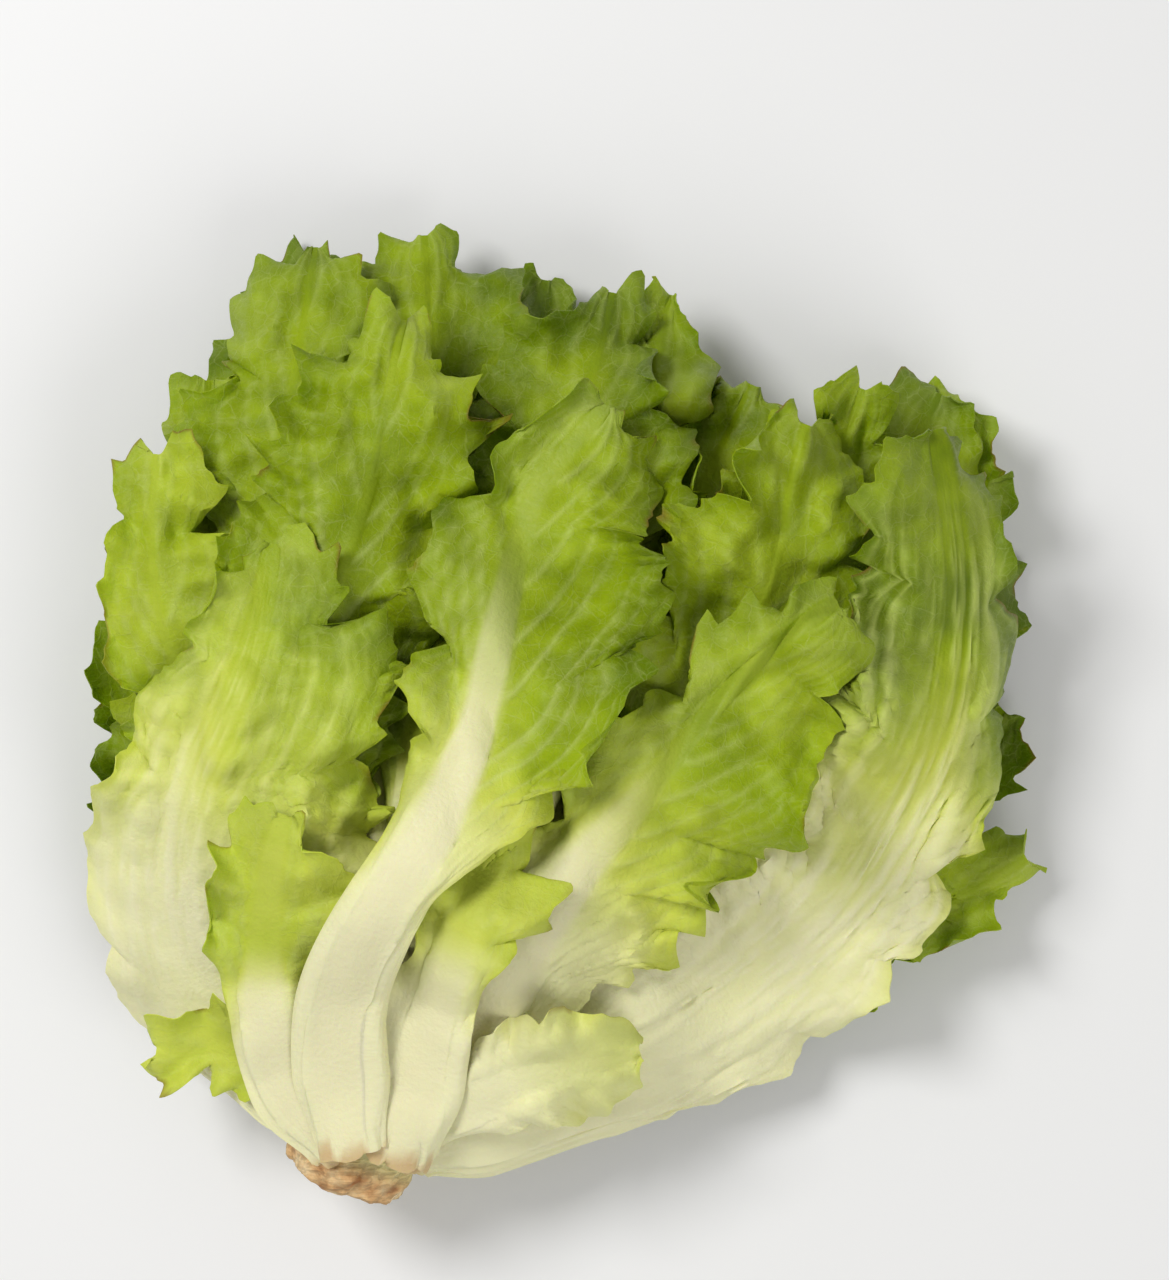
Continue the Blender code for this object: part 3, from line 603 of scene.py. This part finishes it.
class Sheet:
    """One fine leaf as a lattice of points: its plan, its height and where each point is on the leaf."""

    def __init__(self, leaf, number, node):
        self.leaf = leaf
        self.number = number
        self.look = LOOKS.get(leaf.name, Look())
        self.rng = np.random.default_rng(500 + number)
        self.spine = Spine(leaf.line)
        self.length = self.spine.length
        self.stations = row_shares(leaf, self.length)
        coarse_rng = np.random.default_rng(100 + number)
        self.outsets = {
            -1: outset_of(leaf, self.stations, leaf.left, coarse_rng),
            1: outset_of(leaf, self.stations, leaf.right, coarse_rng),
        }
        plan = coarse_plan(leaf, self.spine, self.stations, self.outsets)
        low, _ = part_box(leaf.name)
        self.shift = np.array(low)[:2] / MM - plan.min(axis=0)
        top, bottom = heights_of(node, plan, self.shift)
        step = HIDDEN_STEP_FACTOR if leaf.name in HIDDEN else 1.0
        self.where = rows_for(leaf, self.stations, self.length, step)
        columns = columns_for(leaf, STEP_ACROSS * step)
        count = np.arange(len(self.stations), dtype=float)
        self.share_at = np.clip(hermite(count, self.stations[:, None], self.where)[:, 0], 0, 1)
        self.share, self.column = np.meshgrid(self.share_at, columns, indexing="ij")
        self.size = np.abs(self.column)
        self.height = self._over_lattice(count, columns, (top + bottom) / 2)
        self.thickness = self._over_lattice(count, columns, top - bottom)
        self._spread_out()

    def _over_lattice(self, count, columns, values):
        knots = np.array([-1, *INNER_COLUMNS, 1])
        rows = hermite(count, lattice_of(self.leaf, values), self.where)
        return hermite(knots, rows.T, columns).T

    def _spread_out(self):
        """Distances along and across the flat leaf, with the margin's lobes and teeth."""
        shape = self.share.shape
        self.across, self.along = np.empty(shape), np.empty(shape)
        self.vein, self.between, self.span = np.empty(shape), np.empty(shape), np.empty(shape)
        self.roll, self.swing = np.empty(shape), np.empty(shape)
        for side, blade in ((-1, self.leaf.left), (1, self.leaf.right)):
            width = half_width(self.leaf, self.share, blade)
            span = width - rib_half_width(self.leaf, self.share, width)
            along, across = along_blade(self.leaf, self.share, self.length, width, self.column)
            edge_width = half_width(self.leaf, self.share_at, blade)
            forward = -np.gradient(edge_width)
            outward = np.gradient(self.share_at * self.length)
            slant = np.maximum(np.hypot(forward, outward), 1e-9)
            lobes, teeth, roll, swing = self._margin(side, edge_width)
            out = lobes[:, None] * np.clip((self.size - 0.3) / 0.7, 0, 1) ** 1.2
            out = out + teeth[:, None] * np.clip((self.size - 0.65) / 0.35, 0, 1) ** 1.3
            along = along + out * (forward / slant)[:, None] + TOOTH_LEAN * np.maximum(out, 0)
            across = np.maximum(across + out * (outward / slant)[:, None], TIP_WIDTH / 2 * self.size)
            distance, way = Veins(self.look.sweep, self.look.vein_gap, self.length, self.rng).read(
                self.share, self.size, span
            )
            mine = self.column * side >= 0
            for field, values in (
                (self.across, side * across),
                (self.along, along),
                (self.vein, distance),
                (self.between, way),
                (self.span, span),
                (self.roll, np.repeat(roll[:, None], shape[1], axis=1)),
                (self.swing, np.repeat(swing[:, None], shape[1], axis=1)),
            ):
                field[mine] = values[mine]
        self._join_halves()
        self.beyond_rib = np.clip((self.size - 0.2) / 0.8, 0, 1)
        bend = self.rng.uniform(-1, 1) * TIP_BEND
        self.across = self.across + bend * smooth_step((self.share - 0.5) / 0.5) ** 2
        near_base = 1 - smooth_step(self.along / 16)
        ragged = noise(self.across, self.across * 0, 2.2, self.rng) + 0.6
        self.along = self.along + BASE_RAGGED * ragged * (1 - smooth_step(self.along / 6))
        self.across = self.across * (1 - BASE_TAPER * near_base)
        self.x, self.y = self._plan(self.across, self.along)

    def _join_halves(self):
        """Carries the rows straight across the midrib, whose two halves start at different places."""
        middle = np.nonzero(np.abs(self.column[0]) < 0.2 + 1e-6)[0]
        way = (self.column[0, middle] + 0.2) / 0.4
        for field in (self.along, self.vein, self.between, self.span, self.roll, self.swing):
            first, last = field[:, [middle[0]]].copy(), field[:, [middle[-1]]].copy()
            field[:, middle] = first * (1 - way) + last * way

    def _margin(self, side, edge_width):
        """How far one margin's lobes and teeth stand out, and how each lobe curls and swings."""
        rng = self.rng
        span = edge_width - rib_half_width(self.leaf, self.share_at, edge_width)
        along = np.cumsum(np.hypot(np.gradient(edge_width), np.gradient(self.share_at * self.length)))
        free = smooth_step((self.share_at - self.leaf.start - 0.05) / 0.2)
        tip = 8 * smooth_step((self.share_at - 0.82) / 0.12)
        room = free * np.clip(np.maximum(span, tip) / FULL_TEETH_BLADE, 0.2, 1)
        toothed = np.clip(self.leaf.tooth / 3.2, 0.3, 1)
        if self.look.toothed_from:
            reached = smooth_step((self.share_at - self.look.toothed_from) / 0.15)
            toothed = toothed + (1 - toothed) * reached
        room = room * toothed
        count = int(2 * along[-1] / LOBE_SPACING) + 4
        knots = np.cumsum(LOBE_SPACING * rng.uniform(0.6, 1.4, count)) - LOBE_SPACING
        lobe = np.clip(np.searchsorted(knots, along) - 1, 0, count - 2)
        u = np.clip((along - knots[lobe]) / (knots[lobe + 1] - knots[lobe]), 0, 1)
        bulge = np.sin(math.pi * u)
        size = rng.uniform(0.5, 1.0, count)[lobe]
        lobes = room * LOBE_DEPTH * size * (2 * bulge**0.6 - 1.2)
        teeth = SOLID_TEETH * sharpened(np.arange(len(self.stations)), self.outsets[side], self.where)
        teeth = teeth + room * TOOTH_DEPTH * jagged(along, TOOTH_SPACING, rng)
        teeth = teeth + room * NICK_DEPTH * jagged(along, NICK_SPACING, rng)
        deepest = DEEPEST * span * smooth_step((self.share_at - 0.2) / 0.3)
        lobes = np.maximum(lobes, -deepest)
        spread_side, first, last, most = SPREAD.get(self.leaf.name, (0, 0, 1, 0))
        if spread_side == side:
            way = np.clip((self.share_at - first) / (last - first), 0, 1)
            lobes = lobes + most * np.sin(math.pi * way)
        teeth = np.maximum(teeth, -0.6 * DEEPEST * span)
        curl = rng.uniform(-1, 1, count)[lobe] * bulge
        roll = toothed * np.where(curl > 0, MOST_CURL_UP, MOST_CURL_DOWN) * np.abs(curl)
        tilt = rng.uniform(0.3, 1, count) * np.where(rng.uniform(size=count) < 0.7, 1, -1)
        swing = toothed * LOBE_SWING * tilt[lobe] * np.interp(u, (0, 0.13, 0.87, 1), (0, 1, -1, 0))
        return lobes, teeth, roll, swing

    def _plan(self, across, along):
        plan = self.spine.place(across, along) + self.shift
        return plan[..., 0], plan[..., 1]

    def shape(self, room):
        """Adds veins, creases, ruffles and curled margins, as far as the leaves above leave room."""
        leaf, look, rng, share, size = self.leaf, self.look, self.rng, self.share, self.size
        open_above = smooth_step((room - 1.5) / 9.0)
        self.open_above = open_above
        self.rib = 1 - smooth_step((size - 0.13) / 0.12)
        width = VEIN_HALF_WIDTH * (1.15 - 0.8 * self.beyond_rib) * (1.2 - 0.6 * share)
        calm_tip = 1 - smooth_step((share - 0.72) / 0.2)
        vein = np.exp(-((self.vein / width) ** 2)) * (1 - 0.75 * self.beyond_rib**2) * (1 - self.rib)
        clearness = 0.3 + 0.7 * np.maximum(calm_tip, look.vein_mix)
        self.vein_mark = vein * smooth_step(share / 0.15) * clearness
        fanned = size * 13 - share * 7
        coarse_lines = noise(fanned + 30 * (self.column > 0), share * 2.5, 1.0, rng)
        fine_lines = noise(fanned * 2.3 + 30 * (self.column > 0), share * 3.5, 1.0, rng)
        lines = np.exp(-((coarse_lines / 0.2) ** 2)) + 0.5 * np.exp(-((fine_lines / 0.25) ** 2))
        inside = smooth_step((0.97 - size) / 0.1) * (1 - smooth_step((share - 0.8) / 0.2))
        self.streak_mark = np.clip(lines, 0, 1) * inside
        blade = smooth_step((share - leaf.start - 0.05) / 0.25)
        free = blade * smooth_step(self.beyond_rib / 0.35) * np.clip(self.span / 12, 0.1, 1)
        free = free * (0.25 + 0.75 * open_above)
        free = free * (0.3 + 0.7 * smooth_step((share - look.pale_to + 0.12) / 0.25))
        if self.number < 3:
            free = free * 0.4
        pucker = PUCKER * np.sin(math.pi * self.between) * calm_tip
        crease = np.abs(noise(self.across, self.along, 16.0, rng))
        crease = crease + 0.45 * np.abs(noise(self.across, self.along, 7.5, rng))
        crumple = CREASE * (0.5 - crease) + CRUMPLE * noise(self.across, self.along, 5.0, rng)
        waves = noise(self.along, self.across * 0.2, RUFFLE_LENGTH / 2, rng)
        ruffle = (RUFFLE * waves + self.swing) * self.beyond_rib**1.6
        self.height = self.height + free * (pucker + crumple + ruffle)
        tip = TIP_CURL * rng.uniform(-0.4, 1.0) * smooth_step((share - 0.72) / 0.28) ** 2 * open_above
        self.height = self.height + tip
        self._curl(np.radians(self.roll) * free)

    def _curl(self, turn):
        """Bends each side's outer strip up or down along an arc."""
        for side in (-1, 1):
            mine = np.nonzero(self.column[0] * side >= CURL_FROM)[0]
            knee = mine[0] if side > 0 else mine[-1]
            off_across = self.across[:, mine] - self.across[:, [knee]]
            off_along = self.along[:, mine] - self.along[:, [knee]]
            reach = np.hypot(off_across, off_along)
            whole = np.maximum(self.span[:, mine] * (1 - CURL_FROM) / 0.8, 3.0)
            bend = turn[:, mine] / whole
            bend = np.where(np.abs(bend) < 1e-4, 1e-4, bend)
            angle = np.clip(bend * reach, -2.6, 2.6)
            shorter = np.sin(angle) / bend / np.maximum(reach, 1e-6)
            shorter = np.where(reach < 1e-6, 1.0, shorter)
            self.across[:, mine] = self.across[:, [knee]] + off_across * shorter
            self.along[:, mine] = self.along[:, [knee]] + off_along * shorter
            self.height[:, mine] += (1 - np.cos(angle)) / bend
        self.x, self.y = self._plan(self.across, self.along)

    def lay(self, ground):
        """Lays the leaf on the ground and returns its two surfaces."""
        size, beyond = self.size, self.beyond_rib
        tapered = np.maximum(BLADE_THICKNESS, self.thickness * (1 - 0.8 * beyond))
        half = np.minimum(self.thickness, tapered) / 2
        half = np.maximum(half, BLADE_THICKNESS / 2)
        half = half - (BLADE_THICKNESS - EDGE_THICKNESS) / 2 * smooth_step((size - 0.85) / 0.15)
        arch = np.exp(-((size / 0.17) ** 2)) * (1 - 0.8 * smooth_step((self.share - 0.35) / 0.4))
        upper = half + self.look.rib_rise * rib_half_width(self.leaf, self.share, self.span + 1) * arch
        upper = upper + VEIN_HEIGHT * (self.vein_mark + 1.3 * self.look.streaks * self.streak_mark)
        self.height = self.height + lift_over(ground, self.x, self.y, self.height - half)
        middle = np.stack([self.x, self.y, self.height], -1)
        normal = np.cross(np.gradient(middle, axis=1), np.gradient(middle, axis=0))
        normal = normal / np.maximum(np.linalg.norm(normal, axis=-1), 1e-9)[..., None]
        top = middle + normal * upper[..., None]
        bottom = middle - normal * half[..., None]
        bottom[..., 2] = np.maximum(bottom[..., 2], 0)
        top[..., 2] = np.maximum(top[..., 2], 0.1)
        ground.add(self.x, self.y, np.maximum(top[..., 2], bottom[..., 2]))
        return settled(top), settled(bottom)

    def colours(self):
        """Colour of each point, and how far it is green blade."""
        leaf, look, rng, share, size = self.leaf, self.look, self.rng, self.share, self.size
        patches = noise(self.across, self.along, 16.0, rng)
        grain = noise(self.across, self.along, 3.0, rng)
        place = share + 0.10 * self.beyond_rib + 0.05 * patches
        green = smooth_step((place - look.pale_to) / (look.green_from - look.pale_to)) * look.tone
        green = green * (0.75 + 0.25 * smooth_step(self.beyond_rib / 0.3 + 1.5 * share - 0.3))
        away = from_crown(self.x, self.y)
        if leaf.name not in LOOKS:
            least = 0.25 + 0.3 * self.beyond_rib
            green = green * (least + (1 - least) * smooth_step((away - 45) / 50))
            green = green * rng.uniform(0.82, 1.08)
        green = green + green * (0.14 * patches + 0.05 * grain)
        # Painted shade: the green is darker between the pale streaks, standing in for shade in the valleys
        # between the ribs. The streaks themselves are paler, as real ribs.
        green = green + 0.22 * look.streaks * (0.6 - self.streak_mark) * smooth_step((share - 0.25) / 0.25)
        green = np.clip(green + 0.06 * self.beyond_rib**4, 0, 1)
        colour = ramp(green)
        for mix in (look.vein_mix * self.vein_mark, 0.6 * look.streaks * self.streak_mark):
            colour = colour * (1 - mix[..., None]) + np.maximum(VEIN_COLOUR, colour) * mix[..., None]
        paint = 1 - smooth_step((size - 0.05 - 0.09 * look.rib_pale) / 0.1)
        mix = (paint * look.rib_pale * (1 - 0.95 * smooth_step((share - look.rib_to) / 0.3)))[..., None]
        colour = colour * (1 - mix) + CREAM * mix
        spots = smooth_step((noise(self.along, np.sign(self.column) * 9.0, 5.0, rng) - 0.3) / 0.3)
        burnt = 0.75 * smooth_step((size - 0.95) / 0.05) * spots * smooth_step((share - 0.5) / 0.3)
        torn = 2.2 * noise(self.across, self.along * 0.3, 1.6, rng)
        torn = torn + 2.0 * noise(self.across, self.along, 5.0, rng)
        stub = 0.65 * smooth_step((1.6 - self.along + torn) / 4.5) * smooth_step((28 - away) / 8)
        for mix, target in ((burnt, BURNT), (stub, STUB_BROWN)):
            colour = colour * (1 - mix[..., None]) + target * mix[..., None]
        return colour, np.clip(green * 1.6, 0, 1) * (1 - self.rib)


def leave_room(sheets):
    """How far above each point of each leaf the next leaf lies, from the topmost leaf down."""
    ceiling = Ground()
    ceiling.height[:] = -1000.0
    rooms = []
    for sheet in reversed(sheets):
        rooms.append(-ceiling.near(sheet.x, sheet.y) - sheet.height)
        ceiling.add(sheet.x, sheet.y, -sheet.height)
    return rooms[::-1]


def closed_faces(rows, columns):
    """Faces of a closed sheet of two lattices of points, the second one below the first."""
    number = np.arange(rows * columns).reshape(rows, columns)
    a, b, c, d = number[:-1, :-1], number[:-1, 1:], number[1:, 1:], number[1:, :-1]
    upper = np.stack([a, b, c, d], -1).reshape(-1, 4)
    below = rows * columns
    border = np.concatenate([number[0, :-1], number[:-1, -1], number[-1, :0:-1], number[:0:-1, 0]])
    after = np.roll(border, -1)
    rim = np.stack([border + below, after + below, after, border], -1)
    return np.concatenate([upper, upper[:, ::-1] + below, rim])


def mesh_object(name, points, faces, material):
    """A new object of these points, in millimetres, and faces."""
    mesh = bpy.data.meshes.new(name)
    corners = faces.shape[1]
    mesh.vertices.add(len(points))
    mesh.vertices.foreach_set("co", (points * MM).astype(np.float32).ravel())
    mesh.loops.add(faces.size)
    mesh.loops.foreach_set("vertex_index", faces.astype(np.int32).ravel())
    mesh.polygons.add(len(faces))
    mesh.polygons.foreach_set("loop_start", np.arange(0, faces.size, corners, dtype=np.int32))
    mesh.update(calc_edges=True)
    mesh.validate()
    mesh.materials.append(material)
    made = bpy.data.objects.new(name, mesh)
    bpy.context.scene.collection.objects.link(made)
    mesh.shade_smooth()
    mesh.set_sharp_from_angle(angle=math.radians(65))
    return made


def add_attribute(mesh, name, kind, values):
    field = {"FLOAT_COLOR": "color", "FLOAT_VECTOR": "vector", "FLOAT": "value"}[kind]
    attribute = mesh.attributes.new(name, kind, "POINT")
    attribute.data.foreach_set(field, values.astype(np.float32).ravel())


def leaf_object(sheet, ground, material):
    top, bottom = sheet.lay(ground)
    colour, blade = sheet.colours()
    rows, columns = blade.shape
    points = np.concatenate([top.reshape(-1, 3), bottom.reshape(-1, 3)])
    made = mesh_object(sheet.leaf.name + "_fine", points, closed_faces(rows, columns), material)
    colour = np.concatenate([colour, np.ones(blade.shape + (1,))], -1).reshape(-1, 4)
    place = np.stack([sheet.across, sheet.along, np.full(blade.shape, 40.0 * sheet.number)], -1)
    add_attribute(made.data, "tint", "FLOAT_COLOR", np.tile(colour, (2, 1)))
    add_attribute(made.data, "leaf_mm", "FLOAT_VECTOR", np.tile(place.reshape(-1, 3), (2, 1)))
    add_attribute(made.data, "blade", "FLOAT", np.tile(blade.ravel(), 2))
    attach(made, "root")
    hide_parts(sheet.leaf.name)
    return made


class Graph:
    """A few short ways to add shader nodes."""

    def __init__(self, name):
        self.material = bpy.data.materials.new(name)
        self.material.use_nodes = True
        self.tree = self.material.node_tree
        self.shader = self.tree.nodes["Principled BSDF"]

    def put(self, socket, value):
        if isinstance(value, bpy.types.NodeSocket):
            self.tree.links.new(value, socket)
        else:
            socket.default_value = value

    def node(self, kind, inputs=None, **settings):
        made = self.tree.nodes.new("ShaderNode" + kind)
        for key, value in settings.items():
            setattr(made, key, value)
        for key, value in (inputs or {}).items():
            self.put(made.inputs[key], value)
        return made

    def attribute(self, name, output):
        return self.node("Attribute", attribute_name=name).outputs[output]

    def noise(self, place, scale, detail, output="Fac"):
        return self.node("TexNoise", {"Vector": place, "Scale": scale, "Detail": detail}).outputs[output]

    def math(self, operation, first, second):
        return self.node("Math", {0: first, 1: second}, operation=operation).outputs[0]

    def plus(self, first, second):
        return self.math("ADD", first, second)

    def times(self, first, second):
        return self.math("MULTIPLY", first, second)

    def band(self, value, low, high, to_low, to_high):
        inputs = {"Value": value, "From Min": low, "From Max": high, "To Min": to_low, "To Max": to_high}
        return self.node("MapRange", inputs, interpolation_type="SMOOTHSTEP").outputs["Result"]

    def mix(self, factor, first, second):
        """A blend of two colours, by the colour sockets of the Mix node."""
        return self.node("Mix", {0: factor, 6: first, 7: second}, data_type="RGBA").outputs[2]

    def scaled(self, colour, factor):
        return self.node("VectorMath", {0: colour, "Scale": factor}, operation="SCALE").outputs[0]

    def paint(self, looks):
        """Sets inputs of the material's shader."""
        for name, value in looks.items():
            self.put(self.shader.inputs[name], value)


def leaf_material():
    """A leaf: its own tint, a net of fine veins, faint mottling, and a soft gloss."""
    graph = Graph("leaf_fine")
    place = graph.attribute("leaf_mm", "Vector")
    tint = graph.attribute("tint", "Color")
    blade = graph.attribute("blade", "Fac")
    wander = graph.noise(place, 0.25, 2.0, "Color")
    moved = graph.node("VectorMath", {0: wander, 1: NET_WANDER, 2: place}, operation="MULTIPLY_ADD")
    nets = []
    for scale, width, clearness in NETS:
        cells = {"Vector": moved.outputs[0], "Scale": scale}
        cells = graph.node("TexVoronoi", cells, feature="DISTANCE_TO_EDGE", voronoi_dimensions="3D")
        lines = graph.band(cells.outputs["Distance"], 0.0, width, 1.0, 0.0)
        nets.append(graph.times(lines, clearness))
    net = graph.times(graph.plus(*nets), blade)
    mottle = graph.band(graph.noise(place, 0.12, 4.0), 0.3, 0.7, *MOTTLE)
    mottle = graph.times(mottle, graph.plus(graph.times(blade, 0.85), 0.15))
    shaded = graph.scaled(tint, graph.plus(mottle, 1.0))
    strands = graph.node("Mapping", {"Vector": place, "Scale": (1.0, 0.05, 1.0)}).outputs[0]
    strands = graph.times(graph.noise(strands, 1.2, 3.0), graph.math("SUBTRACT", 1.0, blade))
    pores = graph.noise(place, 0.9, 5.0)
    relief = graph.plus(graph.times(net, 0.9), graph.times(strands, 0.25))
    relief = graph.plus(relief, graph.times(pores, 0.7))
    bump = graph.node("Bump", {"Height": relief, "Strength": 0.7, "Distance": 0.0005})
    graph.paint(
        {
            "Base Color": graph.mix(net, shaded, (*VEIN_COLOUR, 1)),
            "Roughness": graph.band(pores, 0.3, 0.7, *LEAF_ROUGHNESS),
            "Normal": bump.outputs[0],
            "Specular IOR Level": 0.2,
            "Subsurface Weight": 0.2,
            "Subsurface Radius": (0.7, 1.0, 0.3),
            "Subsurface Scale": SUBSURFACE_SCALE,
        }
    )
    return graph.material


def crown_material(cut):
    """The crown: pale flesh that has browned near the cut, with dark torn fibres."""
    graph = Graph("crown_fine")
    place = graph.node("TexCoord").outputs["Object"]
    axis = (math.cos(CROWN_HEADING), math.sin(CROWN_HEADING), 0.0)
    from_cut = graph.node("VectorMath", {0: place, 1: axis}, operation="DOT_PRODUCT").outputs["Value"]
    browned = graph.band(from_cut, (cut + BROWNED[0]) * MM, (cut + BROWNED[1]) * MM, 1.0, 0.0)
    fibres = {"Vector": place, "Rotation": (0, 0, FIBRE_TURN), "Scale": FIBRE_SCALE}
    fibres = graph.noise(graph.node("Mapping", fibres).outputs[0], 1.0, 6.0)
    blotch = graph.noise(place, 220.0, 5.0)
    cut_face = graph.node("ValToRGB", {"Fac": blotch})
    elements = cut_face.color_ramp.elements
    for number, (position, colour) in enumerate(CROWN_COLOURS):
        element = elements[number] if number < 2 else elements.new(position)
        element.position = position
        element.color = (*colour, 1)
    flesh = graph.mix(browned, (*RAMP_COLOURS[1], 1), cut_face.outputs["Color"])
    dark = graph.band(fibres, 0.42, 0.6, 0.75, 1.08)
    bump = graph.node("Bump", {"Height": graph.plus(fibres, blotch), "Strength": 0.8, "Distance": 0.0012})
    graph.paint(
        {
            "Base Color": graph.scaled(flesh, dark),
            "Roughness": graph.band(blotch, 0.3, 0.7, *CROWN_ROUGHNESS),
            "Normal": bump.outputs[0],
            "Subsurface Weight": 0.1,
            "Subsurface Radius": (1.0, 0.6, 0.3),
            "Subsurface Scale": SUBSURFACE_SCALE,
        }
    )
    return graph.material


def crown_object(node, ground):
    """A finer crown over the solid one, with a rough cut end and raised fibres."""
    rng = np.random.default_rng(77)
    source = np.array([vertex.co for vertex in node.data.vertices]) / MM
    ahead, aside = math.cos(CROWN_HEADING), math.sin(CROWN_HEADING)
    cut = (source[:, 0] * ahead + source[:, 1] * aside).min()
    material = crown_material(cut)
    made = bpy.data.objects.new("crown_fine", node.data.copy())
    bpy.context.scene.collection.objects.link(made)
    made.data.materials.clear()
    made.data.materials.append(material)
    bpy.context.view_layer.objects.active = made
    made.select_set(True)
    remesh = made.modifiers.new("remesh", "REMESH")
    remesh.mode = "VOXEL"
    remesh.voxel_size = CROWN_VOXEL * MM
    bpy.ops.object.modifier_apply(modifier=remesh.name)
    made.select_set(False)
    mesh = made.data
    count = len(mesh.vertices)
    points = np.empty(count * 3, np.float32)
    normals = np.empty(count * 3, np.float32)
    mesh.vertices.foreach_get("co", points)
    mesh.vertices.foreach_get("normal", normals)
    points = points.reshape(-1, 3) / MM
    normals = normals.reshape(-1, 3)
    along = points[:, 0] * ahead + points[:, 1] * aside
    across = -points[:, 0] * aside + points[:, 1] * ahead
    bump = 0.6 * noise(across * 1.3 + points[:, 2], along * 0.3 + points[:, 2] * 1.3, 2.0, rng)
    bump = bump + 1.2 * noise(across + 0.7 * points[:, 2], along * 0.5, 4.5, rng)
    rough = smooth_step((along.min() + 16 - along) / 10)
    points = points + normals * ((bump - 0.8) * (0.25 + 0.65 * rough))[:, None]
    points[:, 2] = np.maximum(points[:, 2], source[:, 2].min())
    mesh.vertices.foreach_set("co", (points * MM).astype(np.float32).ravel())
    mesh.update()
    mesh.shade_smooth()
    i, j = ground.cell_of(points[:, 0], points[:, 1])
    np.maximum.at(ground.height, (i, j), points[:, 2])
    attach(made, "root")
    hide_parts("crown")
    return made


def add_light(name, place, size, power):
    """A soft round light that shines on the middle of the head."""
    data = bpy.data.lights.new(name, "AREA")
    data.shape = "DISK"
    data.size = size
    data.energy = power
    light = bpy.data.objects.new(name, data)
    light.location = place
    direction = np.array(LIT_POINT) - np.array(place)
    from_above = math.atan2(math.hypot(direction[0], direction[1]), -direction[2])
    light.rotation_euler = (from_above, 0, math.atan2(direction[1], direction[0]) - math.pi / 2)
    bpy.context.scene.collection.objects.link(light)


def add_stage():
    """A pale floor, soft light and a camera that looks straight down."""
    scene = bpy.context.scene
    mesh = bpy.data.meshes.new("floor")
    mesh.from_pydata([(-2, -2, 0), (2, -2, 0), (2, 2, 0), (-2, 2, 0)], [], [(0, 1, 2, 3)])
    floor = bpy.data.objects.new("floor", mesh)
    scene.collection.objects.link(floor)
    paint = bpy.data.materials.new("floor_paint")
    paint.use_nodes = True
    shader = paint.node_tree.nodes["Principled BSDF"]
    shader.inputs["Base Color"].default_value = (0.86, 0.86, 0.86, 1)
    shader.inputs["Roughness"].default_value = 0.7
    mesh.materials.append(paint)

    world = bpy.data.worlds.new("studio")
    scene.world = world
    world.use_nodes = True
    background = world.node_tree.nodes["Background"]
    background.inputs["Color"].default_value = (1.0, 0.99, 0.97, 1)
    background.inputs["Strength"].default_value = 0.38
    for light in LIGHTS:
        add_light(*light)
    scene.view_settings.view_transform = "Standard"

    camera_data = bpy.data.cameras.new("camera")
    camera_data.lens = CAMERA_LENS
    camera_data.sensor_fit = "VERTICAL"
    camera_data.sensor_height = SENSOR_HEIGHT
    camera = bpy.data.objects.new("camera", camera_data)
    distance = VIEW_HEIGHT * CAMERA_LENS / SENSOR_HEIGHT
    camera.location = (CAMERA_OVER[0] * MM, CAMERA_OVER[1] * MM, (VIEWED_LEVEL + distance) * MM)
    scene.collection.objects.link(camera)
    scene.camera = camera


def main():
    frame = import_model()
    nodes = frame["nodes"]
    leaves = BELOW_CROWN + ABOVE_CROWN
    sheets = [Sheet(leaf, number, nodes[leaf.name]) for number, leaf in enumerate(leaves)]
    for sheet, room in zip(sheets, leave_room(sheets)):
        sheet.shape(room)
    ground = Ground()
    material = leaf_material()
    for sheet in sheets[: len(BELOW_CROWN)]:
        leaf_object(sheet, ground, material)
    crown_object(nodes["crown"], ground)
    for sheet in sheets[len(BELOW_CROWN) :]:
        leaf_object(sheet, ground, material)
    add_stage()


main()
